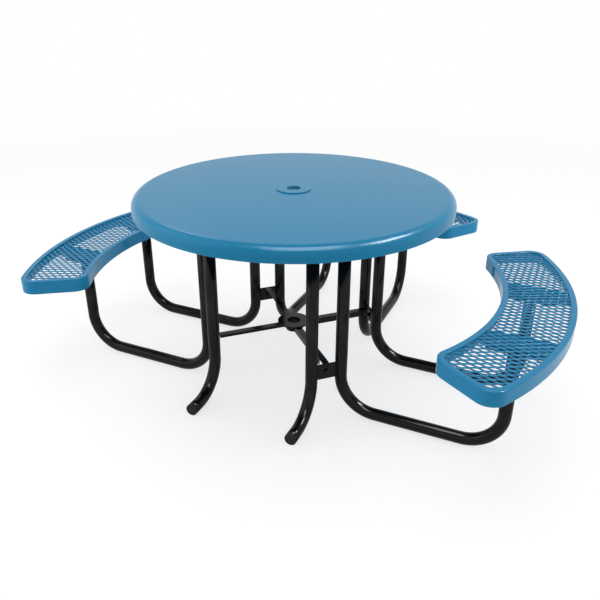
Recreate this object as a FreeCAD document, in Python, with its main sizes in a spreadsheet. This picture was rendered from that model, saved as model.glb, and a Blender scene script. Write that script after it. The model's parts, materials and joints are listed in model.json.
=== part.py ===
import FreeCAD, Part
import math
import os
import re
import Sketcher
from FreeCAD import Rotation, Vector

# Round picnic table, in millimetres.
# A solid steel top on eight bent tubes. Six of the tubes run out along the floor and carry three
# curved seats of expanded metal. The fourth side is open, for a wheelchair.
# The frame: Z up, the floor at zero, the middle of the footprint at the origin, the open side at -Y.
# A side is modelled as if it faced +X, a corner as if its diagonal lay along +X, both about the
# pole axis, and then each piece is turned into place.

SIZES = {
    # the top
    "table_height": 762.0,
    "top_radius": 584.2,
    "top_sheet": 5.0,
    "edge_roll": 30.0,
    "skirt_depth": 51.0,
    "pole_hole_radius": 25.4,
    "raised_disc_radius": 64.0,
    "raised_disc_height": 4.0,
    "centre_ring_radius": 80.0,
    "centre_ring_thickness": 6.0,
    # the stiffener channels under the top
    "channel_width": 40.0,
    "channel_depth": 25.0,
    "channel_wall": 3.0,
    "channel_end_gap": 36.2,
    # the tubes
    "tube_radius": 22.2,
    "tube_wall": 3.0,
    "bend_radius": 133.0,
    "leg_offset": 200.0,
    "leg_stagger": 81.0,
    "riser_inset": 85.0,
    "foot_straight": 43.0,
    # the plastic end caps of the short feet
    "cap_head": 4.0,
    "cap_head_round": 3.0,
    "cap_plug_length": 20.0,
    "cap_clearance": 0.1,
    # the plates on the tube ends, and the corner plates near the floor
    "top_plate_margin": 15.5,
    "top_plate_width": 76.0,
    "top_plate_thickness": 6.0,
    "top_plate_round": 12.0,
    "top_bolt_offset": 22.0,
    "corner_plate_height": 60.0,
    "corner_plate_thickness": 6.0,
    # the hub and the braces
    "hub_top": 220.0,
    "hub_radius": 63.5,
    "hub_thickness": 6.0,
    "collar_wall": 5.0,
    "collar_length": 32.0,
    "brace_flange": 25.0,
    "brace_leg": 25.0,
    "brace_wall": 3.0,
    "brace_leg_setback": 36.0,
    "brace_bend_radius": 4.0,
    "brace_bolt_drop": 30.0,
    "brace_tab_below_bolt": 14.0,
    # the seats
    "seat_height": 457.2,
    "seat_inner_radius": 772.0,
    "seat_depth": 244.0,
    "seat_corner_radius": 55.0,
    "rim_depth": 51.0,
    "rim_wall": 5.0,
    "rim_flange_width": 20.0,
    "rim_flange_thickness": 5.0,
    "rim_edge_round": 2.0,
    "mesh_thickness": 4.0,
    "mesh_long_way": 45.7,
    "mesh_short_way": 23.3,
    "mesh_strand": 7.4,
    "mesh_border": 8.0,
    "mesh_clearance": 0.3,
    "seat_channel_flange": 26.0,
    "seat_channel_wall": 4.0,
    "seat_plate_length": 180.0,
    "seat_plate_width": 60.0,
    "seat_plate_thickness": 5.0,
    "seat_plate_round": 8.0,
    "seat_bolt_edge": 22.0,
    # the bolts
    "bolt_radius": 5.0,
    "bolt_clearance": 0.5,
    "thread_clearance": 0.1,
    "bolt_head_across": 16.0,
    "bolt_head_height": 6.4,
    "nut_height": 8.0,
    "bolt_end_proud": 4.0,
    # every cut runs past the face by this much
    "cut_overrun": 10.0,
}

# Angles, in degrees.
ANGLES = {
    # from the middle of a seat to its straight end
    "seat_half_angle": 34.2,
}

SIDES = {"right": 0, "back": 90, "left": 180}
OPEN_SIDE = 270
CORNERS = {"back_right": 45, "back_left": 135, "front_left": 225, "front_right": 315}

# Heights and reaches that follow from the sizes above.
UNDER_TOP = "(table_height - top_sheet)"
CHANNEL_BOTTOM = f"({UNDER_TOP} - channel_depth)"
TOP_PLATE_BOTTOM = f"({CHANNEL_BOTTOM} - top_plate_thickness)"
CHANNEL_END_RADIUS = "(top_radius - channel_end_gap)"
# how far the two legs of a side stand from the pole axis, and the posts of its seat
LEG_REACH = "(leg_offset + leg_stagger)"
RISER_REACH = "(seat_inner_radius + riser_inset)"
FOOT_REACH = f"({LEG_REACH} + bend_radius + foot_straight)"
# the middle of a corner, between its two legs, and half the distance between those legs
CORNER_REACH = f"(({LEG_REACH} + leg_offset) / sqrt(2))"
CORNER_HALF_SPREAD = "(leg_stagger / sqrt(2))"
TOP_PLATE_HALF_LENGTH = f"({CORNER_HALF_SPREAD} + tube_radius + top_plate_margin)"
CORNER_PLATE_INSIDE = f"({CORNER_REACH} - corner_plate_thickness / 2)"
CORNER_PLATE_OUTSIDE = f"({CORNER_REACH} + corner_plate_thickness / 2)"
HUB_BOTTOM = "(hub_top - hub_thickness)"
CORNER_PLATE_MIDDLE = f"({HUB_BOTTOM} - brace_bolt_drop)"
COLLAR_RADIUS = "(pole_hole_radius + collar_wall)"
SEAT_OUTER_RADIUS = "(seat_inner_radius + seat_depth)"
RIM_BOTTOM = "(seat_height - rim_depth)"
MESH_TOP = "(seat_height - rim_flange_thickness)"
MESH_BOTTOM = f"({MESH_TOP} - mesh_thickness)"
SEAT_PLATE_TOP = RIM_BOTTOM
SEAT_PLATE_BOTTOM = f"({SEAT_PLATE_TOP} - seat_plate_thickness)"
SEAT_CHANNEL_DEPTH = f"({MESH_BOTTOM} - {SEAT_PLATE_TOP})"
# the seat bolts stand in the middle of the channel's hollow
SEAT_BOLT_ACROSS = "(leg_offset - seat_channel_wall / 2)"
SEAT_BOLT_OFFSET = "(seat_plate_length / 2 - seat_bolt_edge)"
BOLT_HOLE_RADIUS = "(bolt_radius + bolt_clearance)"
# the back seat reaches furthest on its side, and the top itself on the open side
POLE_SETBACK = f"(({SEAT_OUTER_RADIUS} - top_radius) / 2)"

document = FreeCAD.newDocument("round_picnic_table")
sheet = document.addObject("Spreadsheet::Sheet", "Sizes")
for row, (alias, size) in enumerate((SIZES | ANGLES).items(), start=1):
    sheet.set(f"A{row}", alias.replace("_", " "))
    sheet.set(f"B{row}", str(size))
    sheet.setAlias(f"B{row}", alias)
document.recompute()
nodes = []


def linked(expression):
    """The expression with each size written as the sheet's cell."""
    return re.sub(r"\b([a-z]+(?:_[a-z]+)+)\b", r"Sizes.\1", expression)


def worth(expression):
    """What an expression of sizes comes to, in millimetres."""
    return float(sheet.evalExpression(linked(expression)))


def bind(piece, setting, expression):
    """Tie one setting of an object to the sheet."""
    piece.setExpression(setting, linked(expression))


def keep(piece, name):
    """Name a finished sub-part and list it for writing."""
    piece.Label = name
    nodes.append(piece)
    return piece


def place(piece, turn=0, along="0", across="0", up="0", tilt=Rotation()):
    """Stand a piece on its side or corner: turned about the pole axis, then moved to its place."""
    piece.Placement = FreeCAD.Placement(Vector(), Rotation(Vector(0, 0, 1), turn).multiply(tilt))
    cosine, sine = f"cos({turn} * 1 deg)", f"sin({turn} * 1 deg)"
    bind(piece, "Placement.Base.x", f"({along}) * {cosine} - ({across}) * {sine}")
    bind(piece, "Placement.Base.y", f"({along}) * {sine} + ({across}) * {cosine} - {POLE_SETBACK}")
    bind(piece, "Placement.Base.z", up)


def new_body(name):
    return document.addObject("PartDesign::Body", name)


def new_sketch(body, name, plane, offset="0"):
    """A sketch on one of the body's own planes, moved along that plane's normal by the offset."""
    sketch = body.newObject("Sketcher::SketchObject", name)
    origin_plane = next(f for f in body.Origin.OriginFeatures if f.Role == plane)
    sketch.AttachmentSupport = [(origin_plane, "")]
    sketch.MapMode = "FlatFace"
    bind(sketch, "AttachmentOffset.Base.z", offset)
    return sketch


def pin_point(sketch, element, point, x, y):
    """Hold a point of the sketch at x and y, which are expressions."""
    for kind, expression in (("DistanceX", x), ("DistanceY", y)):
        rule = sketch.addConstraint(Sketcher.Constraint(kind, -1, 1, element, point, worth(expression)))
        bind(sketch, f"Constraints[{rule}]", expression)


def hold_radius(sketch, element, expression):
    rule = sketch.addConstraint(Sketcher.Constraint("Radius", element, worth(expression)))
    bind(sketch, f"Constraints[{rule}]", expression)


def rounding(before, corner, after, radius):
    """The arc of one rounded corner: its two ends, its centre and whether it turns left."""
    back = (before - corner).normalize()
    ahead = (after - corner).normalize()
    half_angle = back.getAngle(ahead) / 2
    reach = radius / math.tan(half_angle)
    centre = corner + (back + ahead).normalize() * (radius / math.sin(half_angle))
    left = back.cross(ahead).z < 0
    return corner + back * reach, corner + ahead * reach, centre, left


def angle_of(point, centre):
    return math.atan2(point.y - centre.y, point.x - centre.x)


def draw(sketch, corners, closed=True):
    """Straight sides and round corners. A corner is (x, y) or (x, y, radius), all expressions.

    A rounded corner keeps its sharp point as a construction point, which both its sides pass through.
    """
    points = [Vector(worth(c[0]), worth(c[1]), 0) for c in corners]
    count = len(corners)
    rounded = [len(c) == 3 for c in corners]
    arcs = {}
    for index in range(count):
        if rounded[index]:
            arcs[index] = rounding(points[index - 1], points[index], points[(index + 1) % count],
                                   worth(corners[index][2]))
    sides = []
    for index in range(count if closed else count - 1):
        after = (index + 1) % count
        start = arcs[index][1] if rounded[index] else points[index]
        end = arcs[after][0] if rounded[after] else points[after]
        sides.append(sketch.addGeometry(Part.LineSegment(start, end), False))
    for index, corner in enumerate(corners):
        leaving = sides[index] if closed or index < count - 1 else None
        arriving = sides[index - 1] if closed or index > 0 else None
        if not rounded[index]:
            if leaving is None:
                pin_point(sketch, arriving, 2, corner[0], corner[1])
            else:
                pin_point(sketch, leaving, 1, corner[0], corner[1])
            if leaving is not None and arriving is not None:
                sketch.addConstraint(Sketcher.Constraint("Coincident", arriving, 2, leaving, 1))
            continue
        first, last, centre, left = arcs[index]
        radius = worth(corner[2])
        ends = (first, last) if left else (last, first)
        circle = Part.Circle(centre, Vector(0, 0, 1), radius)
        arc = sketch.addGeometry(
            Part.ArcOfCircle(circle, angle_of(ends[0], centre), angle_of(ends[1], centre)), False)
        sharp = sketch.addGeometry(Part.Point(points[index]), True)
        pin_point(sketch, sharp, 1, corner[0], corner[1])
        sketch.addConstraint(Sketcher.Constraint("PointOnObject", sharp, 1, arriving))
        sketch.addConstraint(Sketcher.Constraint("PointOnObject", sharp, 1, leaving))
        near, far = (1, 2) if left else (2, 1)
        sketch.addConstraint(Sketcher.Constraint("Tangent", arriving, 2, arc, near))
        sketch.addConstraint(Sketcher.Constraint("Tangent", leaving, 1, arc, far))
        hold_radius(sketch, arc, corner[2])


def draw_circle(sketch, x, y, radius):
    """A circle whose centre and radius are expressions."""
    circle = Part.Circle(Vector(worth(x), worth(y), 0), Vector(0, 0, 1), worth(radius))
    element = sketch.addGeometry(circle, False)
    pin_point(sketch, element, 3, x, y)
    hold_radius(sketch, element, radius)


def pad(body, sketch, length, both_ways=False, reversed_way=False):
    feature = body.newObject("PartDesign::Pad", f"{body.Name}_pad")
    feature.Profile = sketch
    feature.SideType = "Symmetric" if both_ways else "One side"
    feature.Reversed = reversed_way
    bind(feature, "Length", length)
    return feature


def cut(body, sketch, length=None, upward=True):
    """Cut a sketch's outline out of the body, and make sure that it took something away."""
    document.recompute()
    before = body.Shape.Volume
    feature = body.newObject("PartDesign::Pocket", f"{body.Name}_cut")
    feature.Profile = sketch
    feature.Reversed = upward
    feature.Type = "Length" if length else "ThroughAll"
    if length:
        bind(feature, "Length", length)
    document.recompute()
    if body.Shape.Volume >= before:
        raise ValueError(f"{feature.Name} cut nothing")
    return feature


def turned(name, corners):
    """A piece of revolution about its own Z axis, from an outline of radius and height."""
    body = new_body(name)
    sketch = new_sketch(body, f"{name}_outline", "XZ_Plane")
    draw(sketch, corners)
    feature = body.newObject("PartDesign::Revolution", f"{name}_turn")
    feature.Profile = sketch
    feature.ReferenceAxis = (sketch, ["V_Axis"])
    return keep(body, name)


def ring(name, inner, outer, bottom, top):
    """A plain ring about the pole axis."""
    piece = turned(name, [(inner, bottom), (outer, bottom), (outer, top), (inner, top)])
    place(piece)


def table_top():
    """One sheet: flat disc, rolled edge, skirt, and a round coated lip at the skirt's foot."""
    lip_share = 0.45
    skirt_bottom = "table_height - skirt_depth"
    inside_skirt = "top_radius - top_sheet"
    inside_roll = "edge_roll - top_sheet"
    lip = f"top_sheet * {lip_share}"
    piece = turned("table_top", [
        ("pole_hole_radius", "table_height"),
        ("pole_hole_radius", UNDER_TOP),
        (inside_skirt, UNDER_TOP, inside_roll),
        (inside_skirt, skirt_bottom, lip),
        ("top_radius", skirt_bottom, lip),
        ("top_radius", "table_height", "edge_roll"),
    ])
    place(piece)


def raised_disc():
    """The low disc round the umbrella hole, with its upper edge rounded."""
    disc_top = "table_height + raised_disc_height"
    piece = turned("umbrella_disc", [
        ("pole_hole_radius", "table_height"),
        ("raised_disc_radius", "table_height"),
        ("raised_disc_radius", disc_top, "raised_disc_height / 2"),
        ("pole_hole_radius", disc_top),
    ])
    place(piece)


def top_channel(corner, turn):
    """A radial stiffener with its open side against the sheet, and two bolt holes in its web."""
    name = f"top_channel_{corner}"
    body = new_body(name)
    outside = "channel_width / 2"
    inside = f"({outside} - channel_wall)"
    section = new_sketch(body, f"{name}_section", "YZ_Plane", "centre_ring_radius")
    draw(section, [
        (f"-{outside}", CHANNEL_BOTTOM), (outside, CHANNEL_BOTTOM),
        (outside, UNDER_TOP), (inside, UNDER_TOP),
        (inside, f"{CHANNEL_BOTTOM} + channel_wall"), (f"-{inside}", f"{CHANNEL_BOTTOM} + channel_wall"),
        (f"-{inside}", UNDER_TOP), (f"-{outside}", UNDER_TOP),
    ])
    pad(body, section, f"{CHANNEL_END_RADIUS} - centre_ring_radius")
    holes = new_sketch(body, f"{name}_holes", "XY_Plane")
    for sign in "-+":
        draw_circle(holes, f"{CORNER_REACH} {sign} top_bolt_offset", "0", BOLT_HOLE_RADIUS)
    cut(body, holes)
    place(keep(body, name), turn)


def bent_tube(name, turn, across, path_corners):
    """A round tube bent along a path that starts at the top end of the table leg."""
    body = new_body(name)
    path = new_sketch(body, f"{name}_path", "XZ_Plane")
    draw(path, path_corners, closed=False)
    section = new_sketch(body, f"{name}_section", "XY_Plane", TOP_PLATE_BOTTOM)
    draw_circle(section, LEG_REACH, "0", "tube_radius")
    draw_circle(section, LEG_REACH, "0", "tube_radius - tube_wall")
    document.recompute()
    pipe = body.newObject("PartDesign::AdditivePipe", f"{name}_pipe")
    pipe.Profile = section
    pipe.Spine = (path, [f"Edge{number + 1}" for number in range(len(path.Shape.Edges))])
    place(keep(body, name), turn, across=across)


def seat_tube(side, end, sign, turn):
    """Table leg, floor run and seat post in one tube. The floor run lies on the floor."""
    bent_tube(f"{side}_seat_tube_{end}", turn, f"{sign}leg_offset", [
        (LEG_REACH, TOP_PLATE_BOTTOM),
        (LEG_REACH, "tube_radius", "bend_radius"),
        (RISER_REACH, "tube_radius", "bend_radius"),
        (RISER_REACH, SEAT_PLATE_BOTTOM),
    ])


def front_leg(end, sign):
    """Table leg with a short foot on the open side, and the cap in the foot's end."""
    bent_tube(f"front_leg_{end}", OPEN_SIDE, f"{sign}leg_offset", [
        (LEG_REACH, TOP_PLATE_BOTTOM),
        (LEG_REACH, "tube_radius", "bend_radius"),
        (FOOT_REACH, "tube_radius"),
    ])
    plug_radius = "tube_radius - tube_wall - cap_clearance"
    cap = turned(f"foot_cap_{end}", [
        ("0", "-cap_plug_length"),
        (plug_radius, "-cap_plug_length"),
        (plug_radius, "0"),
        ("tube_radius", "0"),
        ("tube_radius", "cap_head", "cap_head_round"),
        ("0", "cap_head"),
    ])
    outward = Rotation(Vector(0, 1, 0), 90)
    place(cap, OPEN_SIDE, FOOT_REACH, f"{sign}leg_offset", "tube_radius", outward)


def top_plate(corner, turn):
    """The flat plate that is welded on both tube ends of a corner, and bolted to the channel above."""
    name = f"top_plate_{corner}"
    body = new_body(name)
    outline = new_sketch(body, f"{name}_outline", "XY_Plane")
    near = f"{CORNER_REACH} - top_plate_width / 2"
    far = f"{CORNER_REACH} + top_plate_width / 2"
    side = TOP_PLATE_HALF_LENGTH
    draw(outline, [
        (near, f"-{side}", "top_plate_round"), (far, f"-{side}", "top_plate_round"),
        (far, side, "top_plate_round"), (near, side, "top_plate_round"),
    ])
    for sign in "-+":
        draw_circle(outline, f"{CORNER_REACH} {sign} top_bolt_offset", "0", BOLT_HOLE_RADIUS)
    pad(body, outline, "top_plate_thickness")
    place(keep(body, name), turn, up=TOP_PLATE_BOTTOM)


def corner_plate(corner, turn):
    """The upright plate between the two tubes of a corner, with the brace's bolt hole in its middle."""
    name = f"corner_plate_{corner}"
    body = new_body(name)
    outline = new_sketch(body, f"{name}_outline", "YZ_Plane", CORNER_PLATE_INSIDE)
    side = f"({CORNER_HALF_SPREAD} - tube_radius)"
    low = f"{CORNER_PLATE_MIDDLE} - corner_plate_height / 2"
    high = f"{CORNER_PLATE_MIDDLE} + corner_plate_height / 2"
    draw(outline, [(f"-{side}", low), (side, low), (side, high), (f"-{side}", high)])
    draw_circle(outline, "0", CORNER_PLATE_MIDDLE, BOLT_HOLE_RADIUS)
    pad(body, outline, "corner_plate_thickness")
    place(keep(body, name), turn)


def brace(corner, turn):
    """An angle from the hub to a corner plate, where its flat flange bends down into a bolted tab."""
    name = f"brace_{corner}"
    body = new_body(name)
    inner_bend = "brace_bend_radius"
    outer_bend = "brace_bend_radius + brace_wall"
    flange_bottom = f"{HUB_BOTTOM} - brace_wall"
    tab_inside = f"{CORNER_PLATE_INSIDE} - brace_wall"
    tab_bottom = f"{CORNER_PLATE_MIDDLE} - brace_tab_below_bolt"
    strip = new_sketch(body, f"{name}_strip", "XZ_Plane")
    draw(strip, [
        (COLLAR_RADIUS, HUB_BOTTOM),
        (COLLAR_RADIUS, flange_bottom),
        (tab_inside, flange_bottom, inner_bend),
        (tab_inside, tab_bottom),
        (CORNER_PLATE_INSIDE, tab_bottom),
        (CORNER_PLATE_INSIDE, HUB_BOTTOM, outer_bend),
    ])
    pad(body, strip, "brace_flange", both_ways=True)
    leg = new_sketch(body, f"{name}_leg", "YZ_Plane", COLLAR_RADIUS)
    edge = "-brace_flange / 2"
    draw(leg, [
        (edge, f"{HUB_BOTTOM} - brace_leg"), (f"{edge} + brace_wall", f"{HUB_BOTTOM} - brace_leg"),
        (f"{edge} + brace_wall", HUB_BOTTOM), (edge, HUB_BOTTOM),
    ])
    pad(body, leg, f"{CORNER_PLATE_INSIDE} - {COLLAR_RADIUS} - brace_leg_setback")
    hole = new_sketch(body, f"{name}_hole", "YZ_Plane")
    draw_circle(hole, "0", CORNER_PLATE_MIDDLE, BOLT_HOLE_RADIUS)
    cut(body, hole)
    place(keep(body, name), turn)


def sector_arc(radius, start, end):
    circle = Part.Circle(Vector(0, 0, 0), Vector(0, 0, 1), radius)
    return Part.ArcOfCircle(circle, start, end)


def sector_parts(inset):
    """The eight edges of a seat's outline, drawn in from its outer edge by the inset (an expression).

    Each end of the seat is a straight side on a radial line. Its corners are arcs that touch
    that side and the inner or the outer arc. Going round anticlockwise from the outer arc.
    """
    inward = worth(inset)
    inner = worth("seat_inner_radius") + inward
    outer = worth(SEAT_OUTER_RADIUS) - inward
    corner = worth("seat_corner_radius") - inward
    half_angle = math.radians(worth("seat_half_angle"))
    side_out = Vector(math.cos(half_angle), math.sin(half_angle), 0)
    side_in = Vector(math.sin(half_angle), -math.cos(half_angle), 0)
    offset = inward + corner
    outer_centre = side_out * math.sqrt((outer - corner) ** 2 - offset ** 2) + side_in * offset
    inner_centre = side_out * math.sqrt((inner + corner) ** 2 - offset ** 2) + side_in * offset
    outer_turn = math.atan2(outer_centre.y, outer_centre.x)
    inner_turn = math.atan2(inner_centre.y, inner_centre.x)
    outwards = math.atan2(-side_in.y, -side_in.x)
    axis = Vector(0, 0, 1)

    def mirrored(point):
        return Vector(point.x, -point.y, 0)

    outer_corner = Part.Circle(outer_centre, axis, corner)
    inner_corner = Part.Circle(inner_centre, axis, corner)
    far_outer_corner = Part.Circle(mirrored(outer_centre), axis, corner)
    far_inner_corner = Part.Circle(mirrored(inner_centre), axis, corner)
    side_start = outer_centre - side_in * corner
    side_end = inner_centre - side_in * corner
    return [
        sector_arc(outer, -outer_turn, outer_turn),
        Part.ArcOfCircle(outer_corner, outer_turn, outwards),
        Part.LineSegment(side_start, side_end),
        Part.ArcOfCircle(inner_corner, outwards, inner_turn + math.pi),
        sector_arc(inner, -inner_turn, inner_turn),
        Part.ArcOfCircle(far_inner_corner, -inner_turn + math.pi, -outwards + 2 * math.pi),
        Part.LineSegment(mirrored(side_end), mirrored(side_start)),
        Part.ArcOfCircle(far_outer_corner, -outwards, -outer_turn),
    ]


def draw_sector(sketch, inset):
    """The seat's outline as a bound sketch: radii, end angles, insets and tangent corners."""
    outer, corner_a, side_a, corner_b, inner, corner_c, side_b, corner_d = (
        sketch.addGeometry(part, False) for part in sector_parts(inset))
    for arc in (outer, inner):
        sketch.addConstraint(Sketcher.Constraint("Coincident", arc, 3, -1, 1))
    hold_radius(sketch, outer, f"{SEAT_OUTER_RADIUS} - ({inset})")
    hold_radius(sketch, inner, f"seat_inner_radius + ({inset})")
    for arc in (corner_a, corner_b, corner_c, corner_d):
        hold_radius(sketch, arc, f"seat_corner_radius - ({inset})")
    for first, first_end, second, second_end in (
            (outer, 2, corner_a, 1), (corner_a, 2, side_a, 1), (side_a, 2, corner_b, 1),
            (corner_b, 2, inner, 2), (inner, 1, corner_c, 1), (corner_c, 2, side_b, 1),
            (side_b, 2, corner_d, 1), (corner_d, 2, outer, 1)):
        sketch.addConstraint(Sketcher.Constraint("Tangent", first, first_end, second, second_end))
    half_angle = math.radians(worth("seat_half_angle"))
    for side, sign in ((side_a, 1), (side_b, -1)):
        way_out = Vector(math.cos(half_angle), sign * math.sin(half_angle), 0)
        radial = sketch.addGeometry(Part.LineSegment(Vector(), way_out * worth("seat_inner_radius")), True)
        sketch.addConstraint(Sketcher.Constraint("Coincident", radial, 1, -1, 1))
        pin_point(sketch, radial, 2, "seat_inner_radius * cos(seat_half_angle * 1 deg)",
                  f"{sign} * seat_inner_radius * sin(seat_half_angle * 1 deg)")
        sketch.addConstraint(Sketcher.Constraint("Parallel", radial, side))
        if worth(inset) > 0:
            rule = sketch.addConstraint(Sketcher.Constraint("Distance", -1, 1, side, worth(inset)))
            bind(sketch, f"Constraints[{rule}]", inset)
        else:
            sketch.addConstraint(Sketcher.Constraint("PointOnObject", -1, 1, side))


def seat_rim(side, turn):
    """The curved frame of a seat: a deep wall all round with a flange turned in along its top."""
    name = f"{side}_seat_rim"
    body = new_body(name)
    outside = new_sketch(body, f"{name}_outside", "XY_Plane")
    draw_sector(outside, "0")
    pad(body, outside, "rim_depth")
    document.recompute()
    hollow = new_sketch(body, f"{name}_hollow", "XY_Plane")
    draw_sector(hollow, "rim_wall")
    cut(body, hollow, "rim_depth - rim_flange_thickness")
    opening = new_sketch(body, f"{name}_opening", "XY_Plane")
    draw_sector(opening, "rim_flange_width")
    cut(body, opening)
    top = worth("rim_depth")
    edges = [f"Edge{number}" for number, edge in enumerate(body.Shape.Edges, start=1)
             if min(abs(vertex.Z - top) for vertex in edge.Vertexes) < worth("mesh_clearance")
             and edge.BoundBox.ZLength < worth("mesh_clearance")]
    sharp = body.Tip
    rounding_feature = body.newObject("PartDesign::Fillet", f"{name}_round")
    rounding_feature.Base = (sharp, edges)
    bind(rounding_feature, "Radius", "rim_edge_round")
    place(keep(body, name), turn, up=RIM_BOTTOM)


def mesh_cells():
    """Middles of the diamond openings that can reach the seat, in rows across its depth."""
    half_long = worth("mesh_long_way") / 2
    half_short = worth("mesh_short_way") / 2
    inner = worth("seat_inner_radius") * math.cos(math.radians(worth("seat_half_angle")))
    outer = worth(SEAT_OUTER_RADIUS)
    side = outer * math.sin(math.radians(worth("seat_half_angle")))
    rows = range(-int(side / half_short) - 1, int(side / half_short) + 2)
    columns = range(int(inner / half_long) - 2, int(outer / half_long) + 2)
    return [Vector(column * half_long, row * half_short, 0)
            for row in rows for column in columns if (row + column) % 2 == 0]


def seat_mesh_sheet():
    """The flat sheet of diamonds, cut off along the seat's outline, lying on its own XY plane."""
    half_long = worth("mesh_long_way") / 2
    half_short = worth("mesh_short_way") / 2
    cell_reach = half_long * half_short / math.hypot(half_long, half_short)
    open_share = 1 - worth("mesh_strand") / 2 / cell_reach
    along = Vector(half_long * open_share, 0, 0)
    across = Vector(0, half_short * open_share, 0)
    outline = Part.Wire([part.toShape() for part in sector_parts("rim_wall + mesh_clearance")])
    field = Part.Face(Part.Wire([part.toShape() for part in sector_parts("rim_wall + mesh_border")]))
    smallest = along.x * across.y / 2
    # a hole's outline runs the other way round from the sheet's own
    holes = []
    for middle in mesh_cells():
        corners = [middle + along, middle + across, middle - along, middle - across]
        diamond = Part.Face(Part.makePolygon(corners + corners[:1]))
        holes += [face.OuterWire.reversed() for face in diamond.common(field).Faces if face.Area > smallest]
    print(f"each seat mesh has {len(holes)} openings, about {2 * along.x:.1f} by {2 * across.y:.1f} mm")
    return Part.Face([outline] + holes).extrude(Vector(0, 0, worth("mesh_thickness")))


def seat_mesh(side, turn, sheet_shape):
    piece = document.addObject("Part::Feature", f"{side}_seat_mesh")
    piece.Shape = sheet_shape
    place(keep(piece, f"{side}_seat_mesh"), turn, up=MESH_BOTTOM)


def seat_channel(side, end, sign, turn):
    """A channel under the mesh, over one seat post, from the inner wall of the rim to the outer wall."""
    name = f"{side}_seat_channel_{end}"
    body = new_body(name)
    section = new_sketch(body, f"{name}_section", "YZ_Plane")
    web = f"{sign}(leg_offset + seat_channel_flange / 2)"
    web_inside = f"{sign}(leg_offset + seat_channel_flange / 2 - seat_channel_wall)"
    lips = f"{sign}(leg_offset - seat_channel_flange / 2)"
    high = SEAT_CHANNEL_DEPTH
    draw(section, [
        (lips, "0"), (web, "0"), (web, high), (lips, high),
        (lips, f"{high} - seat_channel_wall"), (web_inside, f"{high} - seat_channel_wall"),
        (web_inside, "seat_channel_wall"), (lips, "seat_channel_wall"),
    ])
    pad(body, section, SEAT_OUTER_RADIUS)
    inside = new_sketch(body, f"{name}_inside", "XY_Plane")
    draw_circle(inside, "0", "0", "seat_inner_radius + rim_wall")
    cut(body, inside)
    outside = new_sketch(body, f"{name}_outside", "XY_Plane")
    draw_circle(outside, "0", "0", f"{SEAT_OUTER_RADIUS} - rim_wall")
    draw_circle(outside, "0", "0", f"{SEAT_OUTER_RADIUS} + leg_offset")
    cut(body, outside)
    holes = new_sketch(body, f"{name}_holes", "XY_Plane")
    for hole_sign in "-+":
        draw_circle(holes, f"{RISER_REACH} {hole_sign} {SEAT_BOLT_OFFSET}", f"{sign}{SEAT_BOLT_ACROSS}",
                    BOLT_HOLE_RADIUS)
    cut(body, holes, "seat_channel_wall + cut_overrun")
    place(keep(body, name), turn, up=SEAT_PLATE_TOP)


def seat_plate(side, end, sign, turn):
    """The plate on top of a seat post, under the channel."""
    name = f"{side}_seat_plate_{end}"
    body = new_body(name)
    outline = new_sketch(body, f"{name}_outline", "XY_Plane")
    near = f"{RISER_REACH} - seat_plate_length / 2"
    far = f"{RISER_REACH} + seat_plate_length / 2"
    low = f"{sign}leg_offset - seat_plate_width / 2"
    high = f"{sign}leg_offset + seat_plate_width / 2"
    draw(outline, [
        (near, low, "seat_plate_round"), (far, low, "seat_plate_round"),
        (far, high, "seat_plate_round"), (near, high, "seat_plate_round"),
    ])
    for hole_sign in "-+":
        draw_circle(outline, f"{RISER_REACH} {hole_sign} {SEAT_BOLT_OFFSET}", f"{sign}{SEAT_BOLT_ACROSS}",
                    BOLT_HOLE_RADIUS)
    pad(body, outline, "seat_plate_thickness")
    place(keep(body, name), turn, up=SEAT_PLATE_BOTTOM)


def hexagon(name, height):
    """A six-sided head or nut, standing on its own XY plane."""
    piece = document.addObject("Part::Prism", name)
    piece.Polygon = 6
    bind(piece, "Circumradius", "bolt_head_across / sqrt(3)")
    bind(piece, "Height", height)
    return piece


def bolt(name, grip):
    """A hexagon bolt. Its head hangs below its own XY plane and its shank stands up through the grip."""
    head = hexagon(f"{name}_head", "bolt_head_height")
    bind(head, "Placement.Base.z", "-bolt_head_height")
    shank = document.addObject("Part::Cylinder", f"{name}_shank")
    bind(shank, "Radius", "bolt_radius")
    bind(shank, "Height", f"{grip} + nut_height + bolt_end_proud")
    whole = document.addObject("Part::Fuse", name)
    whole.Base, whole.Tool = head, shank
    return whole


def nut(name):
    """A nut whose bore clears the bolt's shank by the thread clearance."""
    body = hexagon(f"{name}_body", "nut_height")
    bore = document.addObject("Part::Cylinder", f"{name}_bore")
    bind(bore, "Radius", "bolt_radius + thread_clearance")
    bind(bore, "Height", "nut_height + 2 * cut_overrun")
    bind(bore, "Placement.Base.z", "-cut_overrun")
    whole = document.addObject("Part::Cut", name)
    whole.Base, whole.Tool = body, bore
    return whole


def fasteners(name, grip, spots, tilt=Rotation()):
    """Equal bolts as one group, and their nuts as another.

    A spot is the turn, along, across and up of the face that a bolt's head lies on.
    """
    bolts, nuts = [], []
    for number, (turn, along, across, up) in enumerate(spots):
        one = bolt(f"{name}_bolt_{number}", grip)
        place(one, turn, along, across, up, tilt)
        bolts.append(one)
        other = nut(f"{name}_nut_{number}")
        step = tilt.multVec(Vector(0, 0, 1))
        nut_along = f"{along} + {step.x:.0f} * ({grip})"
        nut_up = f"{up} + {step.z:.0f} * ({grip})"
        place(other, turn, nut_along, across, nut_up, tilt)
        nuts.append(other)
    for kind, members in (("bolts", bolts), ("nuts", nuts)):
        group = document.addObject("Part::Compound", f"{name}_{kind}")
        group.Links = members
        keep(group, f"{name}_{kind}")


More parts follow.
